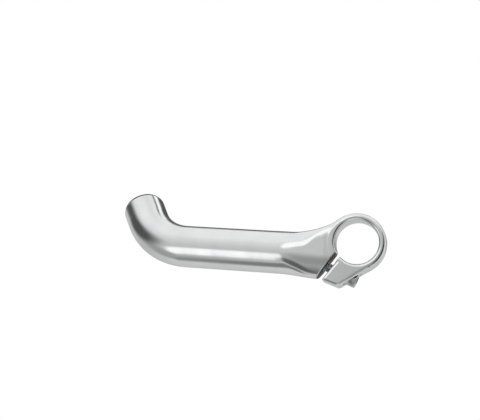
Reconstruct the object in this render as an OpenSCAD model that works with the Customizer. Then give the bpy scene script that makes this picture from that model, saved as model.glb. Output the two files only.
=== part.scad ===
// Bicycle bar end: a forged aluminium arm with a split clamp, its clamp screw and washer,
// and the plug in the open end of the arm.
//
// The origin is the centre of the clamp's bore. The bore runs along Y, with the rider's hand
// side (outboard) towards -Y, and the arm leaves the clamp towards -X and turns up at its tip.
// All sizes are in millimetres.

/* [Clamp ring] */
// Outside diameter of the handlebar that the clamp grips
bar_d = 22.2; // [20:0.1:26]
// Radial room between the handlebar and the relaxed bore
bar_clear = 0.1; // [0.05:0.05:0.2]
// Width of the clamp along the bore
clamp_w = 14; // [11:0.5:18]
// Wall of the ring round the bore
ring_wall = 3.8; // [3:0.1:5]
// Rounding of the ring's outer edges
ring_edge = 1.3; // [0.4:0.1:1.6]
// Chamfer at both ends of the bore
bore_chamfer = 1.1; // [0.4:0.1:1.8]

/* [Slit and lug] */
// Angle of the slit below the horizontal
slit_fall = 51.5; // [45:0.5:58]
// Width of the slit
slit_gap = 3.5; // [2:0.1:4]
// Distance from the bore's centre to the slit's wall on the lug
slit_offset = 2.1; // [1.5:0.1:3]
// Length of the lug beyond the bore, along the slit
lug_past = 15.3; // [13:0.1:17]
// Thickness of the lug at its end
lug_end = 9.2; // [6:0.1:10]
// Angle by which the lug's end face slopes back from square to the slit
lug_slant = 16; // [0:1:20]
// Chamfer on the lug's front and back edges
lug_edge = 1.2; // [0.3:0.1:1.5]

/* [Arm] */
// Outside diameter of the arm
tube_d = 22.2; // [20:0.1:25]
// Wall of the hollow part of the arm
tube_wall = 2.2; // [1.6:0.1:3]
// Length of the arm's axis from the clamp to the start of the bend
arm_len = 102.1; // [80:0.1:130]
// Angle by which the arm swings inboard, out of the clamp's plane
arm_yaw = 22.7; // [14:0.1:25]
// Angle by which the arm climbs
arm_rise = 6.4; // [3:0.1:9]
// Distance that the arm's axis passes outboard of the bore's centre
arm_out = 9.2; // [6:0.1:10]
// Distance that the arm's axis passes below the bore's centre
arm_drop = 8.3; // [7:0.1:10]
// Distance from the clamp at which the hollow begins
hollow_from = 40; // [38:1:60]

/* [Neck] */
// Radius of the sweep from the arm's top up to the ring
sweep_r = 42; // [20:1:50]
// Distance from the clamp at which the neck begins to form
neck_len = 42; // [40:0.5:46]
// Depth by which the neck's underside swells
belly = 1; // [0:0.1:3]
// Softness of the edge between the flat flank and the round neck
flank_soft = 1.6; // [0.5:0.1:3]

/* [Bent tip] */
// Angle of the bend
bend_angle = 51; // [40:1:65]
// Lean of the bend inboard from upright
bend_lean = 28; // [0:1:40]
// Radius of the bend's centre line
bend_r = 40; // [22:0.5:45]
// Length of the straight tip beyond the bend, with the plug's cap
tip_len = 11.3; // [10.6:0.1:25]
// Rounding of the tube's outer edge at its open end
tip_edge = 0.6; // [0.2:0.1:1]

/* [Clamp screw] */
// Nominal diameter of the screw
screw_d = 5; // [4:0.5:6]
// Pitch of its thread
screw_pitch = 0.8; // [0.7:0.1:1]
// Length of the screw under its head
screw_len = 20; // [18:1:24]
// Fall of the screw's axis towards its head
screw_fall = 25; // [20:1:32]
// Distance from the lug's end back to the screw's axis
screw_inset = 8.9; // [8:0.1:9.5]
// Distance from the point nearest the bore's centre to the washer's seat
screw_seat = 2; // [1:0.1:3]
// Radial room of the shank in its tapped hole
screw_run = 0.05; // [0.02:0.01:0.1]
// Radial room of the shank in the lug and in the washer
screw_clear = 0.25; // [0.15:0.05:0.5]
// Thickness of the washer
washer_t = 1; // [0.6:0.1:1.6]
// Radial room of the washer in its spotface
spot_clear = 0.4; // [0.2:0.1:0.6]

/* [End plug] */
// Thickness of the plug's cap
plug_cap = 1.5; // [1:0.1:3]
// Step from the tube's outside in to the cap's rim
plug_step = 0.45; // [0.2:0.05:1]
// Step by which the tip is reamed out for the plug
ream_step = 0.2; // [0.1:0.05:0.4]
// Length of the plug's stem
plug_stem = 9; // [6:0.5:12]
// Radial room of the stem between its grip rings
plug_room = 0.5; // [0.3:0.1:0.8]
// Radial squeeze of the grip rings
plug_grip = 0.08; // [0.02:0.01:0.15]

/* [Hidden] */
$fn = 64;

// Small overlap that lets a cut run past a face, and a length that outreaches the whole clamp
past = 1;
far = 60;

bore_r = bar_d / 2 + bar_clear;
ring_r = bore_r + ring_wall;
tube_r = tube_d / 2;
hollow_r = tube_r - tube_wall;
ream_r = hollow_r + ream_step;
half_w = clamp_w / 2;
lug_reach = bore_r + lug_past;
screw_dist = lug_reach - screw_inset;

// Directions in the clamp's plane, as [x, z]: out along the slit, and across it towards the arm
slit_dir = [-cos(slit_fall), -sin(slit_fall)];
slit_nor = [-sin(slit_fall), cos(slit_fall)];
slit_mid = slit_offset + slit_gap / 2;

// Directions of the arm: along it, inboard across it, and up across it
arm_dir = [-cos(arm_rise) * cos(arm_yaw), cos(arm_rise) * sin(arm_yaw), sin(arm_rise)];
arm_base = [0, -arm_out, -arm_drop];
per_x = 1 / (cos(arm_rise) * cos(arm_yaw));

plug_r = tube_r - plug_step;
tube_end = tip_len - plug_cap;
hollow_start = hollow_from * per_x + hollow_r;

head_r = 0.85 * screw_d;
head_h = screw_d;
socket_af = 0.8 * screw_d;
socket_deep = 0.55 * screw_d;
head_edge = 0.1 * screw_d;
shank_r = screw_d / 2;
washer_r = screw_d;
shank_clear_r = shank_r + screw_clear;
// Depth of the lug's hole from the washer's seat, which ends inside the slit
lug_hole = 10.3;
tap_r = shank_r + screw_run;
tap_past = 3;
ream_past = 2;
bore_facets = 96;

// Places a child drawn along +X on the arm's axis
module on_arm() {
    translate(arm_base) rotate([0, -arm_rise, 180 - arm_yaw]) children();
}

// Places a child drawn along +X at the start of the bend, with the bend's plane upright
module on_bend() {
    on_arm() rotate([bend_lean, 0, 0]) translate([arm_len, 0, 0]) children();
}

// Places a child drawn along +X on the straight tip beyond the bend
module on_tip() {
    on_bend()
        translate([bend_r * sin(bend_angle), 0, bend_r * (1 - cos(bend_angle))])
            rotate([0, -bend_angle, 0]) children();
}

// Places a child drawn along +Z on the screw's axis, with Z = 0 at the washer's seat
// and +Z towards the head
module on_screw() {
    rotate([0, screw_fall, 0]) translate([screw_seat, 0, -screw_dist]) rotate([0, 90, 0]) children();
}

// A round bar along +X
module bar_x(r, len) {
    rotate([0, 90, 0]) cylinder(r = r, h = len);
}

// A flat outline drawn as [x, z] and given a width along Y
module slab(width) {
    rotate([90, 0, 0]) translate([0, 0, -width / 2]) linear_extrude(width) children();
}

// The bent bar along the arm's axis. The bend is thicker than the straight bars by a hair, and
// they run into it a little way, so that the three join into one.
join = 0.04;
join_run = 0.5;
module bent_bar(r, from, tip_to) {
    on_arm() translate([from, 0, 0]) bar_x(r, arm_len - from + join_run);
    on_bend() translate([0, 0, bend_r]) rotate([90, 0, 0]) rotate([0, 0, -90])
        rotate_extrude(angle = bend_angle) translate([bend_r, 0]) circle(r + join);
    on_tip() translate([-join_run, 0, 0]) bar_x(r, tip_to + join_run);
}

// The neck between the round arm and the flat clamp is a loft. Its stations are given by their
// distance from the bore's centre along X, and its sections turn square to the clamp.
ring_pts = 40;
neck_count = 13;

function ease(t) = let (u = min(max(t, 0), 1)) u * u * (3 - 2 * u);
function soft_max(a, b, k) = let (h = max(k - abs(a - b), 0) / k) max(a, b) + h * h * k / 4;
function power(v, n) = sign(v) * pow(abs(v), 2 / n);
function across_at(yaw) = [sin(yaw), cos(yaw), 0];
function up_at(yaw, rise) = [cos(yaw) * sin(rise), -sin(yaw) * sin(rise), cos(rise)];

// Place of the arm's axis at a station, and height of the sweep that climbs to the ring's top
axis_slope = tan(arm_rise) / cos(arm_yaw);
function axis_z(d) = -arm_drop + axis_slope * d;
function axis_y(d) = -arm_out + tan(arm_yaw) * d;
skin_r = (tube_r + join) / cos(180 / ring_pts);
line_z0 = -arm_drop + skin_r / cos(arm_rise);
sweep_lift = line_z0 + sweep_r * sqrt(1 + axis_slope * axis_slope);
sweep_x = (sqrt(pow(ring_r + sweep_r, 2) * (1 + axis_slope * axis_slope) - sweep_lift * sweep_lift)
    - axis_slope * sweep_lift) / (1 + axis_slope * axis_slope);
sweep_z = sweep_lift + axis_slope * sweep_x;
touch_ring = sweep_x * ring_r / (ring_r + sweep_r);
touch_arm = sweep_x + sweep_r * sin(atan(axis_slope));
function sweep_top(d) = d > touch_arm ? line_z0 + axis_slope * d
    : sweep_z - sqrt(sweep_r * sweep_r - pow(sweep_x - d, 2));
neck_end = touch_ring - 1.5;
sunk = 0.5;

// Length over which the underside swells
belly_run = 20;

// Share of the way from a round section to a squarer one
flat_from = 34;
flat_to = 12;
function flat_share(d) = ease((flat_from - d) / (flat_from - flat_to));

// Front and back of the uncut section across its own plane, measured from the arm's axis.
// The flank is the plane that cuts the front off, just behind the ring's face.
proud = 2;
proud_soft = 3;
flank_y = -half_w + 0.1;
back_y = half_w - 0.2;
function back_reach(d, r) = max(r, back_y - axis_y(d));
function front_reach(d, r) = soft_max(-r, flank_y - proud - axis_y(d), proud_soft);

function neck_point(d, t) = let (
    turn = ease((neck_len - d) / (neck_len - flat_to)),
    yaw = arm_yaw * (1 - turn),
    up = up_at(yaw, arm_rise * (1 - turn)),
    r = skin_r / cos(arm_yaw - yaw),
    back = back_reach(d, r),
    front = front_reach(d, r),
    n = 2 + 2 * flat_share(d),
    side = (back - front) / 2 * power(cos(t), n) + (back + front) / 2,
    top = sweep_top(d) - (d <= neck_end ? sunk : 0),
    tall = sin(t) > 0 ? top - axis_z(d) : skin_r + belly * ease((neck_len - d) / belly_run),
    p = arm_base + arm_dir * (d * per_x) + across_at(yaw) * side + up * (tall * power(sin(t), n))
) [p[0], soft_max(p[1], flank_y, flank_soft), p[2]];

module neck_loft() {
    stations = [for (i = [0 : neck_count]) neck_len - (neck_len - neck_end) * i / neck_count];
    pts = [for (d = stations) for (k = [0 : ring_pts - 1]) neck_point(d, 360 * k / ring_pts)];
    walls = [for (i = [0 : neck_count - 1]) for (k = [0 : ring_pts - 1]) let (
        a = i * ring_pts + k,
        b = i * ring_pts + (k + 1) % ring_pts)
        each [[a, b + ring_pts, b], [a, a + ring_pts, b + ring_pts]]];
    near = [for (k = [ring_pts - 1 : -1 : 0]) neck_count * ring_pts + k];
    far = [for (k = [0 : ring_pts - 1]) k];
    polyhedron(points = pts, faces = concat(walls, [near], [far]));
}

// Everything on the lug's side of the slit's middle
module lug_side() {
    slab(far) polygon([
        slit_dir * far + slit_nor * slit_mid,
        -slit_dir * far + slit_nor * slit_mid,
        -slit_dir * far + slit_nor * (slit_mid - 2 * far),
        slit_dir * far + slit_nor * (slit_mid - 2 * far)]);
}

// The slit, from the bore's centre outward
module slit() {
    slab(far) polygon([
        slit_dir * far + slit_nor * slit_offset,
        slit_nor * slit_offset,
        slit_nor * (slit_offset + slit_gap),
        slit_dir * far + slit_nor * (slit_offset + slit_gap)]);
}

module clamp_ring() {
    rotate([90, 0, 0]) rotate_extrude() {
        polygon(concat(
            [[bore_r - 2, -half_w]],
            [for (a = [0 : 15 : 90]) [ring_r - ring_edge + ring_edge * sin(a),
                -half_w + ring_edge - ring_edge * cos(a)]],
            [for (a = [0 : 15 : 90]) [ring_r - ring_edge + ring_edge * cos(a),
                half_w - ring_edge + ring_edge * sin(a)]],
            [[bore_r - 2, half_w]]));
    }
}

// The lug's outline: from the ring along the slit to the end face, and back along the line
// that touches the ring
lug_top = slit_dir * lug_reach + slit_nor * slit_offset;
lug_tip = lug_top - lug_end * (cos(lug_slant) * slit_nor + sin(lug_slant) * slit_dir);
tip_far = norm(lug_tip);
tip_angle = atan2(lug_tip[1], lug_tip[0]);
touch_angle = tip_angle + acos(ring_r / tip_far);
lug_touch = ring_r * [cos(touch_angle), sin(touch_angle)];
lug_root = (bore_r - 1) * slit_dir + slit_nor * slit_offset;

module lug_outline() {
    polygon([lug_root, lug_top, lug_tip, lug_touch, [0, 0]]);
}

module lug() {
    hull() {
        slab(clamp_w - 2 * lug_edge) lug_outline();
        slab(clamp_w) offset(delta = -lug_edge) lug_outline();
    }
}

// What the rounding takes off the outer edge of the tube's open end
module tip_rounding() {
    on_tip() translate([tube_end, 0, 0]) rotate([0, 90, 0]) rotate_extrude() polygon(concat(
        [[tube_r + past, -tip_edge], [tube_r + past, past], [tube_r - tip_edge, past]],
        [for (a = [90 : -15 : 0]) [tube_r - tip_edge + tip_edge * cos(a), -tip_edge + tip_edge * sin(a)]]));
}

module bar_end_arm() {
    color("silver") difference() {
        union() {
            bent_bar(tube_r, neck_len * per_x - past, tube_end);
            difference() {
                neck_loft();
                lug_side();
            }
            clamp_ring();
            lug();
        }
        // Bore with its two chamfers
        rotate([90, 0, 0]) {
            cylinder(r = bore_r, h = clamp_w + 2 * past, center = true, $fn = bore_facets);
            for (end = [0, 1]) mirror([0, 0, end]) translate([0, 0, half_w - bore_chamfer])
                cylinder(r1 = bore_r, r2 = bore_r + bore_chamfer + past, h = bore_chamfer + past,
                    $fn = bore_facets);
        }
        slit();
        // Hole through the lug, tapped hole in the neck, and the washer's spotface
        on_screw() {
            translate([0, 0, -lug_hole]) cylinder(r = shank_clear_r, h = lug_hole + past);
            translate([0, 0, washer_t - screw_len - tap_past])
                cylinder(r = tap_r, h = screw_len + tap_past);
            cylinder(r = washer_r + spot_clear, h = lug_reach);
        }
        // Hollow of the arm, reamed at the open tip for the plug, and the tip's rounded edge
        bent_bar(hollow_r, hollow_start, tube_end - plug_stem);
        on_arm() translate([hollow_start, 0, 0]) sphere(hollow_r - join);
        on_tip() translate([tube_end - plug_stem - ream_past, 0, 0])
            bar_x(ream_r, plug_stem + ream_past + past);
        tip_rounding();
    }
}

module clamp_screw() {
    color("silver") on_screw() translate([0, 0, washer_t]) difference() {
        rotate_extrude() polygon([
            [0, -screw_len],
            [shank_r - screw_pitch / 2, -screw_len],
            [shank_r, screw_pitch / 2 - screw_len],
            [shank_r, 0],
            [head_r, 0],
            [head_r, head_h - head_edge],
            [head_r - head_edge, head_h],
            [0, head_h]]);
        translate([0, 0, head_h - socket_deep])
            cylinder(r = socket_af / sqrt(3), h = socket_deep + past, $fn = 6);
    }
}

module screw_washer() {
    color("gainsboro") on_screw() difference() {
        cylinder(r = washer_r, h = washer_t);
        translate([0, 0, -past]) cylinder(r = shank_clear_r, h = washer_t + 2 * past);
    }
}

module end_plug() {
    stem_r = ream_r - plug_room;
    grip_r = ream_r + plug_grip;
    grip_t = 0.8;
    grip_step = 2.4;
    grip_sunk = 0.5;
    stem_wall = 1.6;
    stem_floor = 1;
    cap_foot = 0.2;
    cap_round = 1;
    color("black") on_tip() translate([tube_end, 0, 0]) rotate([0, 90, 0]) {
        // Cap
        rotate_extrude() polygon(concat(
            [[0, 0], [plug_r - cap_foot, 0], [plug_r, cap_foot]],
            [for (a = [0 : 15 : 90])
                [plug_r - cap_round + cap_round * cos(a), plug_cap - cap_round + cap_round * sin(a)]],
            [[0, plug_cap]]));
        // Hollow stem with three grip rings
        translate([0, 0, -plug_stem]) difference() {
            cylinder(r = stem_r, h = plug_stem);
            translate([0, 0, -past])
                cylinder(r = stem_r - stem_wall, h = plug_stem + past - stem_floor);
        }
        for (i = [1 : 3]) translate([0, 0, -grip_step * i]) difference() {
            cylinder(r = grip_r, h = grip_t);
            translate([0, 0, -past]) cylinder(r = stem_r - grip_sunk, h = grip_t + 2 * past);
        }
    }
}

bar_end_arm();
clamp_screw();
screw_washer();
end_plug();
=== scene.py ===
# Dresses the bicycle bar end: a polished arm, its clamp screw and washer, and the plug in its tip.
import math
import bmesh
import bpy
import numpy as np
from mathutils import Matrix, Vector


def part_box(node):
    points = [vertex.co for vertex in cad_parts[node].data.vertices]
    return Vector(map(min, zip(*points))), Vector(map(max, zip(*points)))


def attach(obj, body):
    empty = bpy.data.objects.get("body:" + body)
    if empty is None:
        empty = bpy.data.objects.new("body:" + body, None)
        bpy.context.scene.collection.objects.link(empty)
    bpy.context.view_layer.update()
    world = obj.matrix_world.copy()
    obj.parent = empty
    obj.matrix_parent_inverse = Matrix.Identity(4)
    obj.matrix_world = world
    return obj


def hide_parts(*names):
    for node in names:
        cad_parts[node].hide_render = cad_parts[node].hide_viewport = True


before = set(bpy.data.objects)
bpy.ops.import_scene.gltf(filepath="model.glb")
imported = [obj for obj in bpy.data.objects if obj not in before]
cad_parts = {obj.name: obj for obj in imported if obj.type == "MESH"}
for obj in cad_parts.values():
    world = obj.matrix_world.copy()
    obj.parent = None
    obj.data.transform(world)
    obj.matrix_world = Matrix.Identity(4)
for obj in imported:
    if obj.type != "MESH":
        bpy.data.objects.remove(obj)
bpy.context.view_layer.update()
mm = 0.001
print("frame loaded:", ", ".join(sorted(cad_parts)))

# camera, from below and a little to the right, as the bar end was photographed
camera = {
    "azimuth": 4.0,      # degrees round from square to the clamp's face
    "elevation": -7.5,   # seen slightly from below
    "distance": 0.9,     # metres from the centre of the bore
    "lens": 131, "sensor": 36, "clip": (0.05, 20),
    "shift": (-0.2450, 0.0698),  # puts the bore right of the middle of the picture
}


def setCamera(c):
    a, e = math.radians(c["azimuth"]), math.radians(c["elevation"])
    back = Vector((math.sin(a) * math.cos(e), -math.cos(a) * math.cos(e), math.sin(e)))
    data = bpy.data.cameras.new("camera")
    data.lens, data.sensor_width = c["lens"], c["sensor"]
    data.shift_x, data.shift_y = c["shift"]
    data.clip_start, data.clip_end = c["clip"]
    cam = bpy.data.objects.new("camera", data)
    bpy.context.scene.collection.objects.link(cam)
    cam.location = back * c["distance"]
    cam.rotation_euler = (-back).to_track_quat("-Z", "Y").to_euler()
    bpy.context.scene.camera = cam


setCamera(camera)
bpy.context.scene.view_settings.view_transform = "Standard"


# helpers for shapes
def turned(axis, degrees):
    return np.array(Matrix.Rotation(math.radians(degrees), 3, axis))


def softMax(a, b, k):
    # the larger of two distances, with the crease between them rounded over a width of k
    h = np.maximum(k - np.abs(a - b), 0) / k
    return np.maximum(a, b) + h * h * k / 4


def softMin(a, b, k):
    return -softMax(-a, -b, k)


edgeWidth = 1.17     # a softMax this wide rounds a square edge to a radius of 1


def ease(t):
    # 0 to 1 with a soft start and end
    t = np.clip(t, 0, 1)
    return t * t * (3 - 2 * t)


def linkMesh(name, points, faces, normals=None):
    mesh = bpy.data.meshes.new(name)
    mesh.vertices.add(len(points))
    mesh.vertices.foreach_set("co", (np.asarray(points) * mm).astype(np.float32).ravel())
    faces = np.asarray(faces)
    mesh.loops.add(faces.size)
    mesh.loops.foreach_set("vertex_index", faces.astype(np.int32).ravel())
    mesh.polygons.add(len(faces))
    mesh.polygons.foreach_set("loop_start", np.arange(0, faces.size, 4, dtype=np.int32))
    mesh.update(calc_edges=True)
    mesh.polygons.foreach_set("use_smooth", np.ones(len(faces), bool))
    if normals is not None:
        mesh.normals_split_custom_set_from_vertices([tuple(n) for n in normals])
    obj = bpy.data.objects.new(name, mesh)
    bpy.context.scene.collection.objects.link(obj)
    return obj


# the arm, clamp and lug, one forging. Lengths in mm and angles in degrees, as in the solids.
# The centre of the bore is the origin, the handlebar lies along y, and the arm runs to -x.
arm = {
    # the bent tube: its radius, its turn and rise from the clamp, and the bend at its far end
    "tube": 11.1, "yaw": 22.7, "rise": 6.4, "base": (0, -9.2, -8.3), "straight": 102.1,
    "bend": 51, "lean": 28, "bendRadius": 40, "tip": 11.3, "cap": 1.5, "tipEdge": 0.6,
    "plugHole": 9.1, "plugDeep": 11,
    # the clamp ring and half its width. Its rounded edge turns into the lug's down the slit.
    "bore": 11.2, "ring": 15.0, "half": 7, "ringEdge": 1.9, "edgeFrom": 19, "edgeOver": 6,
    "chamfer": 1.1,
    # the neck, by distance from the bore: where it leaves the tube, where it grows square, and
    # the radius of its climb to the ring
    "neckFrom": 43, "neckOver": 7, "flatFrom": 34, "flatTo": 12, "sweep": 42, "neckShort": 1.5,
    "belly": 1.0, "bellyFrom": 42, "bellyOver": 20, "backIn": 0.2,
    # the flat flank: rounding of its edge, lean along the arm, roll over above and under below,
    # and the shoulder where the upper roll starts
    "flankIn": 0.1, "flankSoft": 1.7, "flankLean": 0.06, "leanFrom": 17,
    "flankOver": 0.05, "flankUnder": 0.024,
    "shoulderLow": -2.5, "shoulderClimb": 9.5, "shoulderFrom": 29, "shoulderOver": 15,
    # the slit and its lug
    "slitFall": 51.5, "slitNear": 2.25, "slitFar": 5.3, "slitEdge": 0.6, "slitReach": 32,
    "lugReach": 26.5, "lugEnd": 9.2, "lugSlant": 16, "lugEdge": 1.5, "lugCorner": 0.9,
    "lugJoin": 0.6,
    # the screw's hole, clear through the lug and tapped beyond, and the spotface for its washer
    "screwFall": 25, "screwSeat": 2, "screwAway": 17.6, "screwHole": 2.75, "tapHole": 2.55,
    "holeThrough": 10.3, "holeDeep": 22, "spotface": 5.4, "washer": 1,
    "drilled": 0.3,      # rounding of a drilled edge
    "blend": 1.2,        # fillet where ring, neck and lug run together
    "crisp": 0.45,       # how far the polishing has softened a machined edge
}
armTurn = turned("Z", 180 - arm["yaw"]) @ turned("Y", -arm["rise"])
bendTurn = armTurn @ turned("X", arm["lean"])
tubeEnd = arm["tip"] - arm["cap"]
slitAngle = math.radians(arm["slitFall"])
along = np.array([-math.cos(slitAngle), -math.sin(slitAngle)])     # down the slit, as x and z
across = np.array([-math.sin(slitAngle), math.cos(slitAngle)])     # over the slit, to the arm


def tubeField(p):
    # distance to the bent tube's skin: straight, arc and tip share one centre line
    q = (p - np.array(arm["base"])) @ bendTurn
    u, v, w = q[:, 0] - arm["straight"], q[:, 1], q[:, 2]
    r, bend = arm["bendRadius"], math.radians(arm["bend"])
    first = np.sqrt(np.maximum(u, 0) ** 2 + v * v + w * w)
    f = np.clip(np.arctan2(u, r - w), 0, bend)
    arc = np.sqrt((u - r * np.sin(f)) ** 2 + v * v + (w - r + r * np.cos(f)) ** 2)
    u2, w2 = u - r * math.sin(bend), w - r * (1 - math.cos(bend))
    go = u2 * math.cos(bend) + w2 * math.sin(bend)
    off = -u2 * math.sin(bend) + w2 * math.cos(bend)
    last = np.sqrt(np.minimum(go, 0) ** 2 + off * off + v * v)
    return np.minimum(np.minimum(first, arc), last) - arm["tube"], go, np.hypot(off, v)


axisSlope = math.tan(math.radians(arm["rise"])) / math.cos(math.radians(arm["yaw"]))
yawSlope = math.tan(math.radians(arm["yaw"]))
lineLow = arm["base"][2] + arm["tube"] / math.cos(math.radians(arm["rise"]))
lift = lineLow + arm["sweep"] * math.hypot(1, axisSlope)
sweepX = (math.sqrt((arm["ring"] + arm["sweep"]) ** 2 * (1 + axisSlope ** 2) - lift ** 2)
          - axisSlope * lift) / (1 + axisSlope ** 2)
sweepZ = lift + axisSlope * sweepX
touchArm = sweepX + arm["sweep"] * math.sin(math.atan(axisSlope))
neckEnd = sweepX * arm["ring"] / (arm["ring"] + arm["sweep"]) - arm["neckShort"]


def neckField(p):
    # squarer towards the clamp, climbing on top to the ring, with the front cut to a flat flank
    d = np.clip(-p[:, 0], neckEnd, None)
    yc = arm["base"][1] + yawSlope * d
    zc = arm["base"][2] + axisSlope * d
    wide = arm["tube"] / math.cos(math.radians(arm["yaw"]))
    back = np.maximum(wide, arm["half"] - arm["backIn"] - yc)
    flank = -arm["half"] + arm["flankIn"]
    front = softMax(-wide, flank - 2 - yc, 3)      # the section goes on 2 mm past the flank
    n = 2 + 2 * ease((arm["flatFrom"] - d) / (arm["flatFrom"] - arm["flatTo"]))
    top = np.where(d > touchArm, lineLow + axisSlope * d,
                   sweepZ - np.sqrt(np.maximum(arm["sweep"] ** 2 - (sweepX - d) ** 2, 1)))
    tall = np.where(p[:, 2] > zc, top - zc, arm["tube"] / math.cos(math.radians(arm["rise"]))
                    + arm["belly"] * ease((arm["bellyFrom"] - d) / arm["bellyOver"]))
    y = (p[:, 1] - yc - (back + front) / 2) / ((back - front) / 2)
    z = (p[:, 2] - zc) / tall
    # 11 mm is about the section's half width, which makes the field a distance in mm
    body = ((np.abs(y) ** n + np.abs(z) ** n + 1e-9) ** (1 / n) - 1) * 11
    # the flank turns a little out of the clamp's face along the arm. It rolls under below the
    # middle, and over above a shoulder that climbs towards the ring.
    lean = arm["flankLean"] * np.maximum(d - arm["leanFrom"], 0)
    climb = ease((arm["shoulderFrom"] - d) / arm["shoulderOver"])
    shoulder = arm["shoulderLow"] + arm["shoulderClimb"] * climb
    above = np.maximum(p[:, 2] - shoulder, 0)
    below = np.minimum(p[:, 2] - np.minimum(zc, shoulder), 0)
    roll = arm["flankOver"] * above ** 2 + arm["flankUnder"] * below ** 2
    body = softMax(body, flank + lean + roll - p[:, 1], arm["flankSoft"])
    return np.maximum(body, p[:, 0] + neckEnd)


def roundedPlate(side, y, edge):
    # an outline given by its distance field, as thick as the clamp, with rounded edges
    a, b = side + edge, np.abs(y) - arm["half"] + edge
    return np.minimum(np.maximum(a, b), 0) + np.hypot(np.maximum(a, 0), np.maximum(b, 0)) - edge


def lugSides(x, z):
    # distance to the lug's outline, which runs down the slit, across the end and back to the ring
    slant = math.radians(arm["lugSlant"])
    top = along * arm["lugReach"] + across * arm["slitNear"]
    tip = top - arm["lugEnd"] * (math.cos(slant) * across + math.sin(slant) * along)
    turn = math.atan2(tip[1], tip[0]) + math.acos(arm["ring"] / np.hypot(*tip))
    touch = arm["ring"] * np.array([math.cos(turn), math.sin(turn)])
    corners = [along * (arm["bore"] - 1) + across * arm["slitNear"], top, tip, touch, np.zeros(2)]
    sides = None
    for i, a in enumerate(corners):
        b = corners[(i + 1) % len(corners)]
        n = np.array([-(b - a)[1], (b - a)[0]]) / np.hypot(*(b - a))
        n = -n if np.dot(n, np.mean(corners, axis=0) - a) > 0 else n
        s = (x - a[0]) * n[0] + (z - a[1]) * n[1]
        sides = s if sides is None else softMax(sides, s, arm["lugCorner"])
    return sides


def armField(p):
    x, y, z = p[:, 0], p[:, 1], p[:, 2]
    tube, go, off = tubeField(p)
    tube = softMax(tube, go - tubeEnd, arm["tipEdge"] * edgeWidth)
    neck = neckField(p)
    share = ease((arm["neckFrom"] + x) / arm["neckOver"])
    body = tube * (1 - share) + neck * share
    slit = x * across[0] + z * across[1]
    wall = arm["slitFar"] - slit
    body = np.where(-x < arm["slitReach"], softMax(body, wall, arm["slitEdge"]), body)
    # ring and lug are one flat outline, rounded over its edges
    outline = softMin(np.hypot(x, z) - arm["ring"], lugSides(x, z), arm["lugJoin"])
    down = x * along[0] + z * along[1]
    ringShare = ease((arm["edgeFrom"] - down) / arm["edgeOver"])
    edge = arm["lugEdge"] + (arm["ringEdge"] - arm["lugEdge"]) * ringShare
    plate = roundedPlate(outline, y, edge)
    whole = softMin(body, plate, arm["blend"])
    # the flank is ground flush with the clamp's face, and the back is flat behind the bore
    whole = np.maximum(whole, -arm["half"] - y)
    whole = np.where(x > -9, np.maximum(whole, y - arm["half"]), whole)
    slot = np.maximum(np.maximum(arm["slitNear"] - slit, slit - arm["slitFar"]), -down)
    whole = softMax(whole, -slot, arm["crisp"])
    bore = arm["bore"] - np.hypot(x, z)
    cone = bore + np.maximum(np.abs(y) - arm["half"] + arm["chamfer"], 0)
    whole = softMax(whole, bore, arm["crisp"])
    whole = softMax(whole, cone * 0.7071, arm["crisp"])      # a chamfer of 45 degrees
    # screw holes, drawn along the screw's own axis
    s = (p @ turned("Y", arm["screwFall"])) - np.array([arm["screwSeat"], 0, -arm["screwAway"]])
    rad = np.hypot(s[:, 1], s[:, 2])
    hole = np.where(s[:, 0] > -arm["holeThrough"], arm["screwHole"], arm["tapHole"]) - rad
    whole = softMax(whole, np.minimum(hole, s[:, 0] + arm["holeDeep"]), arm["drilled"])
    seat = np.minimum(arm["spotface"] - rad, s[:, 0])
    whole = softMax(whole, seat, arm["drilled"])
    pocket = np.minimum(arm["plugHole"] - off, go - tubeEnd + arm["plugDeep"])
    nearTip = go > -2
    return np.where(nearTip, softMax(whole, pocket, arm["drilled"]), whole)


def spaced(stops):
    # grid lines from a list of (place, step) pairs
    out = []
    for (a, step), (b, _) in zip(stops, stops[1:]):
        out += list(np.linspace(a, b, max(2, round((b - a) / step) + 1))[:-1])
    return np.array(out + [stops[-1][0]])


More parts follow.
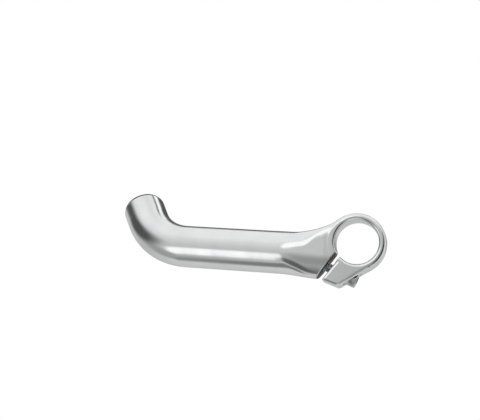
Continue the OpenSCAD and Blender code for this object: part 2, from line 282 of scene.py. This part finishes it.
def skinOf(field, gx, gy, gz):
    # a net of four-sided faces over the grid cells that the surface passes, pulled onto it
    shape = (len(gx), len(gy), len(gz))
    value = np.empty(shape, np.float32)
    yy, zz = np.meshgrid(gy, gz, indexing="ij")
    for i, x in enumerate(gx):
        sheet = np.stack([np.full(yy.size, x), yy.ravel(), zz.ravel()], 1)
        value[i] = field(sheet).reshape(yy.shape)
    inside = value < 0
    corners = [inside[a:shape[0] - 1 + a, b:shape[1] - 1 + b, c:shape[2] - 1 + c]
               for a in (0, 1) for b in (0, 1) for c in (0, 1)]
    some = np.logical_or.reduce(corners) & ~np.logical_and.reduce(corners)
    cell = np.argwhere(some)
    number = np.full(some.shape, -1, np.int64)
    number[some] = np.arange(len(cell))
    lines = (gx, gy, gz)
    total, count = np.zeros((len(cell), 3)), np.zeros(len(cell))
    for axis in range(3):
        for b in (0, 1):
            for c in (0, 1):
                lo = np.zeros(3, int)
                lo[(axis + 1) % 3], lo[(axis + 2) % 3] = b, c
                hi = lo.copy()
                hi[axis] = 1
                i, j = cell + lo, cell + hi
                va, vb = value[tuple(i.T)], value[tuple(j.T)]
                cut = (va < 0) != (vb < 0)
                t = np.where(cut, va / np.where(va == vb, 1, va - vb), 0)
                pa = np.stack([lines[k][i[:, k]] for k in range(3)], 1)
                pb = np.stack([lines[k][j[:, k]] for k in range(3)], 1)
                total += np.where(cut[:, None], pa + (pb - pa) * t[:, None], 0)
                count += cut
    points = total / count[:, None]
    faces = []
    for axis in range(3):
        n1, n2 = (axis + 1) % 3, (axis + 2) % 3
        a = np.take(inside, range(shape[axis] - 1), axis)
        b = np.take(inside, range(1, shape[axis]), axis)
        for flip in (False, True):
            edge = np.argwhere((b & ~a) if flip else (a & ~b))
            edge = edge[(edge[:, n1] > 0) & (edge[:, n2] > 0)
                        & (edge[:, n1] < shape[n1] - 1) & (edge[:, n2] < shape[n2] - 1)]
            quad = []
            for s1, s2 in ((1, 1), (0, 1), (0, 0), (1, 0)):
                e = edge.copy()
                e[:, n1] -= s1
                e[:, n2] -= s2
                quad.append(number[tuple(e.T)])
            quad = np.stack(quad, 1)
            faces.append(quad[:, ::-1] if flip else quad)
    faces = np.concatenate(faces)
    pulls, probe, longest = 3, 0.01, 0.25      # pulls onto the surface, and in mm the step that
    for pull in range(pulls + 1):              # feels its slope and the most that a pull moves
        slope = np.stack([(field(points + s) - field(points - s)) / (2 * probe)
                          for s in probe * np.eye(3)], 1)
        size = np.maximum((slope ** 2).sum(1), 1e-4)
        if pull < pulls:
            step = slope * (field(points) / size)[:, None]
            limit = np.minimum(1, longest / np.maximum(np.linalg.norm(step, axis=1), 1e-9))
            points = points - step * limit[:, None]
    return points, faces, slope / np.sqrt(size)[:, None]


def makeArm():
    lo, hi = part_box("bar_end_arm")
    lo, hi = np.array(lo) / mm, np.array(hi) / mm
    # the net is finest at the clamp and coarsest along the straight, which changes least
    gx = spaced([(lo[0] - 1, 0.6), (-100, 0.6), (-92, 0.9), (-46, 0.9), (-42, 0.42),
                 (hi[0] + 1, 0)])
    gy = spaced([(lo[1] - 1, 0.45), (hi[1] + 1, 0)])
    gz = spaced([(lo[2] - 1, 0.45), (hi[2] + 1, 0)])
    points, faces, normals = skinOf(armField, gx, gy, gz)
    obj = linkMesh("polishedArm", points, faces, normals)
    print("arm:", len(points), "points,", len(faces), "faces")
    return obj


armPiece = makeArm()
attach(armPiece, "bar_end")
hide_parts("bar_end_arm")


# the clamp screw: a cap screw with a straight knurl, a hex socket and a rolled thread
screw = {
    "shank": 2.5, "pitch": 0.8, "long": 20, "threadDeep": 0.42, "point": 0.5,
    "threadFrom": 4,     # plain shank under the head
    "head": 4.18, "headTall": 5, "headEdge": 0.45, "knurls": 36, "knurlDeep": 0.14,
    "knurlFrom": 0.4, "knurlTo": 1.1,      # plain bands at the head's foot and top
    "socket": 4.0, "socketDeep": 2.75, "socketEdge": 0.12,
    "around": 144, "step": 0.1,            # faces round the screw, and mm between its rings
}


def hexReach(angle, flats):
    # distance from the axis to the wall of a hexagon, at each angle
    a = (angle + math.pi / 6) % (math.pi / 3) - math.pi / 6
    return flats / 2 / np.cos(a)


def makeScrew():
    s = screw
    turns = s["around"]
    angle = np.linspace(0, 2 * math.pi, turns, endpoint=False)
    one = np.ones(turns)
    closed = one * 0.001                          # a ring so small that it closes an end
    rows = [(closed, -s["long"]), (one * (s["shank"] - s["point"]), -s["long"])]
    # rings of (radius at each angle, height), from the tip up to the socket's floor
    for h in np.arange(-s["long"] + 0.05, -0.02, s["step"]):
        wave = 0.5 + 0.5 * np.cos(2 * math.pi * h / s["pitch"] - angle)
        deep = s["threadDeep"] * wave * ease((-s["threadFrom"] - h) / s["pitch"])
        point = np.clip((h + s["long"]) / s["point"], 0, 1) * s["point"] - s["point"]
        rows.append((np.minimum(s["shank"] - deep, s["shank"] + point), h))
    rows += [(one * s["shank"], 0.0), (one * s["head"], 0.0)]
    top, e = s["headTall"], s["headEdge"]
    for h in (0.25, 0.45, top - 1.2, top - 1.0):  # a pair of rings at each end of the knurl
        knurled = s["knurlFrom"] < h < top - s["knurlTo"]
        deep = s["knurlDeep"] * (0.5 - 0.5 * np.cos(angle * s["knurls"])) * knurled
        rows.append((s["head"] - deep, h))
    for t in np.linspace(0, math.pi / 2, 6):
        rows.append((one * (s["head"] - e + e * math.cos(t)), top - e + e * math.sin(t)))
    hexagon = hexReach(angle, s["socket"])
    rows += [(hexagon * 0.8 + 0.62, top),         # between the round rim and the hexagon
             (hexagon + s["socketEdge"], top), (hexagon, top - s["socketEdge"]),
             (hexagon, top - s["socketDeep"]), (closed, top - s["socketDeep"] - 0.5)]
    local = np.concatenate([np.stack([r * np.cos(angle), r * np.sin(angle), one * h], 1)
                            for r, h in rows])
    faces = [[i * turns + k, i * turns + (k + 1) % turns,
              (i + 1) * turns + (k + 1) % turns, (i + 1) * turns + k]
             for i in range(len(rows) - 1) for k in range(turns)]
    local[:, 2] += arm["washer"]
    seat = np.array([arm["screwSeat"], 0, -arm["screwAway"]])
    world = ((local @ turned("Y", 90).T) + seat) @ turned("Y", arm["screwFall"]).T
    obj = linkMesh("capScrew", world, faces)
    obj.data.set_sharp_from_angle(angle=math.radians(35))
    print("clamp screw:", len(faces), "faces")
    return obj


screwPiece = makeScrew()
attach(screwPiece, "screw")
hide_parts("clamp_screw")


# helpers for materials
def linear(text):
    # an sRGB hex colour as the linear values that the shader wants
    out = []
    for i in (1, 3, 5):
        c = int(text[i:i + 2], 16) / 255
        out.append(c / 12.92 if c <= 0.04045 else ((c + 0.055) / 1.055) ** 2.4)
    return (*out, 1)


def addNode(tree, kind, settings=None, **links):
    # links: a socket's name (spaces as _) or number (in0, in6) to a value or another node's output
    node = tree.nodes.new(kind)
    for key, value in (settings or {}).items():
        setattr(node, key, value)
    for key, value in links.items():
        place = int(key[2:]) if key.startswith("in") else key.replace("_", " ")
        socket = node.inputs[place]
        if isinstance(value, bpy.types.NodeSocket):
            tree.links.new(value, socket)
        else:
            socket.default_value = value
    return node


noiseLow, noiseHigh = 0.3, 0.7     # most of a noise's values lie between these


def newMaterial(name):
    mat = bpy.data.materials.new(name)
    mat.use_nodes = True
    mat.node_tree.nodes.clear()
    return mat, mat.node_tree


def wear(piece, mat):
    piece.data.materials.clear()
    piece.data.materials.append(mat)


# polished forged aluminium: ground along its length and buffed, then left bare or clear
# anodised. It mirrors the room softly, with a faint grain along the arm.
polish = {
    "colour": "#F4F5F5", "stain": "#E6E7E8", "roughness": (0.10, 0.19),
    "grain": 0.35,       # mm between buffing lines, drawn coarser than the real 0.05 to show
    "grainLong": 40, "grainTurn": 20,      # times as long as wide, and degrees round to the arm
    "cloud": 9,          # mm, size of the patches where the buffing varies
    "bump": 0.14, "deep": 0.02,            # strength, and mm from crest to bottom
}


def polishedForgedAluminium(p):
    mat, t = newMaterial("polishedForgedAluminium")
    place = addNode(t, "ShaderNodeTexCoord").outputs["Object"]
    fine = 1 / (p["grain"] * mm)
    buffed = addNode(t, "ShaderNodeMapping", Vector=place,
                     Rotation=(0, 0, math.radians(p["grainTurn"])),
                     Scale=(fine / p["grainLong"], fine, fine))
    lines = addNode(t, "ShaderNodeTexNoise", Vector=buffed.outputs[0], Scale=1.0, Detail=2.0)
    cloud = addNode(t, "ShaderNodeTexNoise", Vector=place, Scale=1 / (p["cloud"] * mm), Detail=3.0)
    rough = addNode(t, "ShaderNodeMapRange", Value=cloud.outputs["Fac"], From_Min=noiseLow,
                    From_Max=noiseHigh, To_Min=p["roughness"][0], To_Max=p["roughness"][1])
    colour = addNode(t, "ShaderNodeMix", {"data_type": "RGBA"}, in0=cloud.outputs["Fac"],
                     in6=linear(p["colour"]), in7=linear(p["stain"]))
    bump = addNode(t, "ShaderNodeBump", Strength=p["bump"], Distance=p["deep"] * mm,
                   Height=lines.outputs["Fac"])
    shader = addNode(t, "ShaderNodeBsdfPrincipled", Metallic=1.0, Base_Color=colour.outputs[2],
                     Roughness=rough.outputs[0], Normal=bump.outputs[0])
    addNode(t, "ShaderNodeOutputMaterial", Surface=shader.outputs[0])
    return mat


wear(armPiece, polishedForgedAluminium(polish))


# sawn aluminium: the slit is cut last and not polished, so it stays dull and scored across
# by the saw. Its colours are painted dark brown in patches, as painted shade in the slit.
sawCut = {
    # the cut's colour is painted darker and browner as shade, and the second colour is painted
    # shade
    "colour": "#8A8479", "grime": "#3A322B", "roughness": 0.55,
    "metallic": 0.6,     # the painted shade hides part of the metal
    "shadePatches": 2.5,         # mm, size of the patches of painted shade
    "stroke": 0.6,       # mm between strokes, drawn coarser than the real 0.2 to show
    "strokeLong": 20,    # they run through the clamp, so they are stretched that way
    "bump": 0.4, "deep": 0.05,
    "near": 0.12, "far": 0.25, "above": 0.5,      # mm round the slit that still count as cut
    "square": 0.85,      # how squarely a cut face looks across the slit
}


def sawnAluminiumPaintedShade(p):
    mat, t = newMaterial("sawnAluminiumPaintedShade")
    place = addNode(t, "ShaderNodeTexCoord").outputs["Object"]
    fine = 1 / (p["stroke"] * mm)
    strokes = addNode(t, "ShaderNodeMapping", Vector=place,
                      Scale=(fine, fine / p["strokeLong"], fine))
    score = addNode(t, "ShaderNodeTexNoise", Vector=strokes.outputs[0], Scale=1.0, Detail=2.0)
    # patches of painted shade over the cut's colour, for the shadowed slit
    shadePatches = addNode(t, "ShaderNodeTexNoise", Vector=place, Scale=1 / (p["shadePatches"] * mm), Detail=4.0)
    colour = addNode(t, "ShaderNodeMix", {"data_type": "RGBA"}, in0=shadePatches.outputs["Fac"],
                     in6=linear(p["grime"]), in7=linear(p["colour"]))
    bump = addNode(t, "ShaderNodeBump", Strength=p["bump"], Distance=p["deep"] * mm,
                   Height=score.outputs["Fac"])
    shader = addNode(t, "ShaderNodeBsdfPrincipled", Metallic=p["metallic"],
                     Base_Color=colour.outputs[2], Roughness=p["roughness"],
                     Normal=bump.outputs[0])
    addNode(t, "ShaderNodeOutputMaterial", Surface=shader.outputs[0])
    return mat


# the slit's cut faces take the darker material: painted shade for the shadowed slit
armPiece.data.materials.append(sawnAluminiumPaintedShade(sawCut))
for face in armPiece.data.polygons:
    x, z = face.center.x / mm, face.center.z / mm
    over, down = x * across[0] + z * across[1], x * along[0] + z * along[1]
    square = abs(face.normal.x * across[0] + face.normal.z * across[1])
    inSlit = arm["slitNear"] - sawCut["near"] < over < arm["slitFar"] + sawCut["far"]
    if inSlit and down > arm["bore"] - sawCut["above"] and square > sawCut["square"]:
        face.material_index = 1


# zinc plated steel: rolled and plated bright, so it glints in points along the knurl
plating = {
    "colour": "#E6E7E9", "shade": "#AEB1B5", "roughness": (0.05, 0.12),
    "cloud": 1.5, "bump": 0.15, "deep": 0.02,     # mm across a patch of duller plating
}
washerPlating = dict(plating, roughness=(0.28, 0.42))       # duller, as pressed washers are


def brightZincPlate(p, name):
    mat, t = newMaterial(name)
    place = addNode(t, "ShaderNodeTexCoord").outputs["Object"]
    cloud = addNode(t, "ShaderNodeTexNoise", Vector=place, Scale=1 / (p["cloud"] * mm), Detail=4.0)
    rough = addNode(t, "ShaderNodeMapRange", Value=cloud.outputs["Fac"], From_Min=noiseLow,
                    From_Max=noiseHigh, To_Min=p["roughness"][0], To_Max=p["roughness"][1])
    tint = addNode(t, "ShaderNodeMix", {"data_type": "RGBA"}, in0=cloud.outputs["Fac"],
                   in6=linear(p["colour"]), in7=linear(p["shade"]))
    bump = addNode(t, "ShaderNodeBump", Strength=p["bump"], Distance=p["deep"] * mm,
                   Height=cloud.outputs["Fac"])
    shader = addNode(t, "ShaderNodeBsdfPrincipled", Metallic=1.0, Base_Color=tint.outputs[2],
                     Roughness=rough.outputs[0], Normal=bump.outputs[0])
    addNode(t, "ShaderNodeOutputMaterial", Surface=shader.outputs[0])
    return mat


wear(screwPiece, brightZincPlate(plating, "brightZincPlate"))
wear(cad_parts["screw_washer"], brightZincPlate(washerPlating, "pressedZincPlate"))


# moulded plastic: soft black polyethylene with the fine grain of a spark-eroded mould
plug = {
    "colour": "#17181A", "ior": 1.51, "roughness": (0.42, 0.58),
    "grain": 0.35, "bump": 0.25, "deep": 0.04,    # mm across a pit, drawn coarser than real
}


def mouldedPolyethylene(p):
    mat, t = newMaterial("mouldedPolyethylene")
    place = addNode(t, "ShaderNodeTexCoord").outputs["Object"]
    grain = addNode(t, "ShaderNodeTexNoise", Vector=place, Scale=1 / (p["grain"] * mm), Detail=2.0)
    rough = addNode(t, "ShaderNodeMapRange", Value=grain.outputs["Fac"], From_Min=noiseLow,
                    From_Max=noiseHigh, To_Min=p["roughness"][0], To_Max=p["roughness"][1])
    bump = addNode(t, "ShaderNodeBump", Strength=p["bump"], Distance=p["deep"] * mm,
                   Height=grain.outputs["Fac"])
    shader = addNode(t, "ShaderNodeBsdfPrincipled", Base_Color=linear(p["colour"]),
                     IOR=p["ior"], Roughness=rough.outputs[0], Normal=bump.outputs[0])
    addNode(t, "ShaderNodeOutputMaterial", Surface=shader.outputs[0])
    return mat


wear(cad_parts["end_plug"], mouldedPolyethylene(plug))
print("materials on")


# the studio: white paper, one long soft box overhead, and round it all a dome of pale paper
# with the soft boxes and grey flags that the polished metal mirrors
studio = {
    "floorDown": 0.17, "floorColour": "#F2F2F2", "worldLight": 0.75,
    "overhead": {"centre": (-0.05, -0.2, 0.9), "size": (1.2, 0.5), "aim": (-0.05, 0, 0),
                 "power": 6},         # watts
    "domeRadius": 1.2, "domeCentre": (-0.06, 0.02, 0),
    # the paper's brightness at each height in degrees
    "paper": ((-90, 0.56), (-55, 0.66), (-30, 0.60), (-12, 0.52), (5, 0.60), (20, 0.66),
              (35, 0.76), (52, 0.90), (70, 0.90), (90, 0.78)),
    # each soft box or flag in degrees: azimuth (minus is left), height, half width and half
    # height, then how soft its edge is and its brightness
    "cards": (
        (120, 5, 32, 32, 0.40, 0.76),
        (-92, -34, 16, 30, 0.50, 0.36),
        (-92, -56, 26, 9, 0.40, 0.22),
        (-96, 13, 25, 20, 0.45, 0.085),
        (-60, -21, 14, 16, 0.30, 1.12),
        (-22, 28, 24, 15, 0.20, 1.12),
        (-36, -42, 24, 18, 0.45, 0.12),
        (6, -16, 34, 16, 0.50, 0.31),
        (12, 4, 14, 8, 0.50, 0.40),
        (50, -14, 23, 38, 0.40, 0.04),
        (-174, 28, 28, 17, 0.40, 0.12),
        (164, 26, 30, 19, 0.35, 0.09),
        (158, 50, 34, 5, 0.40, 1.12),
        (148, 62, 26, 4, 0.40, 0.22),
    ),
}


def makeDome():
    mesh = bpy.data.meshes.new("paperDome")
    form = bmesh.new()
    bmesh.ops.create_uvsphere(form, u_segments=72, v_segments=36, radius=studio["domeRadius"])
    form.to_mesh(mesh)
    form.free()
    dome = bpy.data.objects.new("paperDome", mesh)
    bpy.context.scene.collection.objects.link(dome)
    dome.location = studio["domeCentre"]

    # the place on the dome, as azimuth and height seen from its centre
    mat, t = newMaterial("domePaper")
    spot = addNode(t, "ShaderNodeVectorMath", {"operation": "NORMALIZE"},
                   in0=addNode(t, "ShaderNodeTexCoord").outputs["Object"])
    where = addNode(t, "ShaderNodeSeparateXYZ", Vector=spot.outputs[0]).outputs
    front = addNode(t, "ShaderNodeMath", {"operation": "MULTIPLY"}, in0=where["Y"], in1=-1.0)
    turn = addNode(t, "ShaderNodeMath", {"operation": "ARCTAN2"}, in0=where["X"],
                   in1=front.outputs[0])
    rise = addNode(t, "ShaderNodeMath", {"operation": "ARCSINE"}, in0=where["Z"])
    place = addNode(t, "ShaderNodeCombineXYZ", X=turn.outputs[0], Y=rise.outputs[0])

    # the paper from the bottom up, then each card over it
    start = studio["paper"][0][1]
    seen = (start, start, start, 1)
    for (low, _), (high, v) in zip(studio["paper"], studio["paper"][1:]):
        cover = addNode(t, "ShaderNodeMapRange", Value=rise.outputs[0],
                        From_Min=math.radians(low), From_Max=math.radians(high))
        seen = addNode(t, "ShaderNodeMix", {"data_type": "RGBA"}, in0=cover.outputs[0],
                       in6=seen, in7=(v, v, v, 1)).outputs[2]
    for a, e, w, h, soft, v in studio["cards"]:
        off = addNode(t, "ShaderNodeVectorMath", {"operation": "SUBTRACT"}, in0=place.outputs[0],
                      in1=(math.radians(a), math.radians(e), 0))
        part = addNode(t, "ShaderNodeVectorMath", {"operation": "DIVIDE"}, in0=off.outputs[0],
                       in1=(math.radians(w), math.radians(h), 1))
        far = addNode(t, "ShaderNodeVectorMath", {"operation": "LENGTH"}, in0=part.outputs[0])
        cover = addNode(t, "ShaderNodeMapRange", {"interpolation_type": "SMOOTHSTEP"},
                        Value=far.outputs["Value"], From_Min=1 + soft, From_Max=1 - soft)
        seen = addNode(t, "ShaderNodeMix", {"data_type": "RGBA"}, in0=cover.outputs[0],
                       in6=seen, in7=(v, v, v, 1)).outputs[2]
    glow = addNode(t, "ShaderNodeEmission", Color=seen)
    addNode(t, "ShaderNodeOutputMaterial", Surface=glow.outputs[0])
    mesh.materials.append(mat)
    # only reflections see the dome: it lights nothing else and throws no shadow
    dome.visible_camera = dome.visible_diffuse = False
    dome.visible_shadow = dome.visible_transmission = False


def makeFloor():
    mesh = bpy.data.meshes.new("paperFloor")
    mesh.from_pydata([(-3, -3, 0), (3, -3, 0), (3, 3, 0), (-3, 3, 0)], [], [(0, 1, 2, 3)])
    floor = bpy.data.objects.new("paperFloor", mesh)
    bpy.context.scene.collection.objects.link(floor)
    floor.location.z = -studio["floorDown"]
    mat, t = newMaterial("whitePaper")
    place = addNode(t, "ShaderNodeTexCoord").outputs["Object"]
    fibre = addNode(t, "ShaderNodeTexNoise", Vector=place, Scale=1 / (2 * mm), Detail=3.0)
    bump = addNode(t, "ShaderNodeBump", Strength=0.05, Distance=0.1 * mm,
                   Height=fibre.outputs["Fac"])
    shader = addNode(t, "ShaderNodeBsdfPrincipled", Base_Color=linear(studio["floorColour"]),
                     Roughness=0.9, Normal=bump.outputs[0])
    addNode(t, "ShaderNodeOutputMaterial", Surface=shader.outputs[0])
    mesh.materials.append(mat)
    floor.visible_glossy = False      # the dome's lower paper stands in for it in the metal


def makeWorld():
    world = bpy.data.worlds.new("whiteRoom")
    bpy.context.scene.world = world
    world.use_nodes = True
    t = world.node_tree
    t.nodes.clear()
    path = addNode(t, "ShaderNodeLightPath").outputs
    seen = addNode(t, "ShaderNodeMath", {"operation": "MAXIMUM"},
                   in0=path["Is Camera Ray"], in1=path["Is Glossy Ray"])
    seen = addNode(t, "ShaderNodeMath", {"operation": "MAXIMUM"},
                   in0=seen.outputs[0], in1=path["Is Transmission Ray"])
    power = addNode(t, "ShaderNodeMapRange", Value=seen.outputs[0],
                    To_Min=studio["worldLight"], To_Max=1.0)
    glow = addNode(t, "ShaderNodeBackground", Color=(1, 1, 1, 1), Strength=power.outputs[0])
    addNode(t, "ShaderNodeOutputWorld", Surface=glow.outputs[0])


def addSoftBox(name, box):
    data = bpy.data.lights.new(name, "AREA")
    data.shape, data.energy = "RECTANGLE", box["power"]
    data.size, data.size_y = box["size"]
    lamp = bpy.data.objects.new(name, data)
    bpy.context.scene.collection.objects.link(lamp)
    lamp.location = box["centre"]
    down = Vector(box["aim"]) - Vector(box["centre"])
    lamp.rotation_euler = down.to_track_quat("-Z", "Y").to_euler()
    lamp.visible_glossy = False       # the dome's cards stand in for it in the metal


makeFloor()
makeWorld()
makeDome()
addSoftBox("overheadBox", studio["overhead"])
print("studio ready")

bpy.context.view_layer.update()
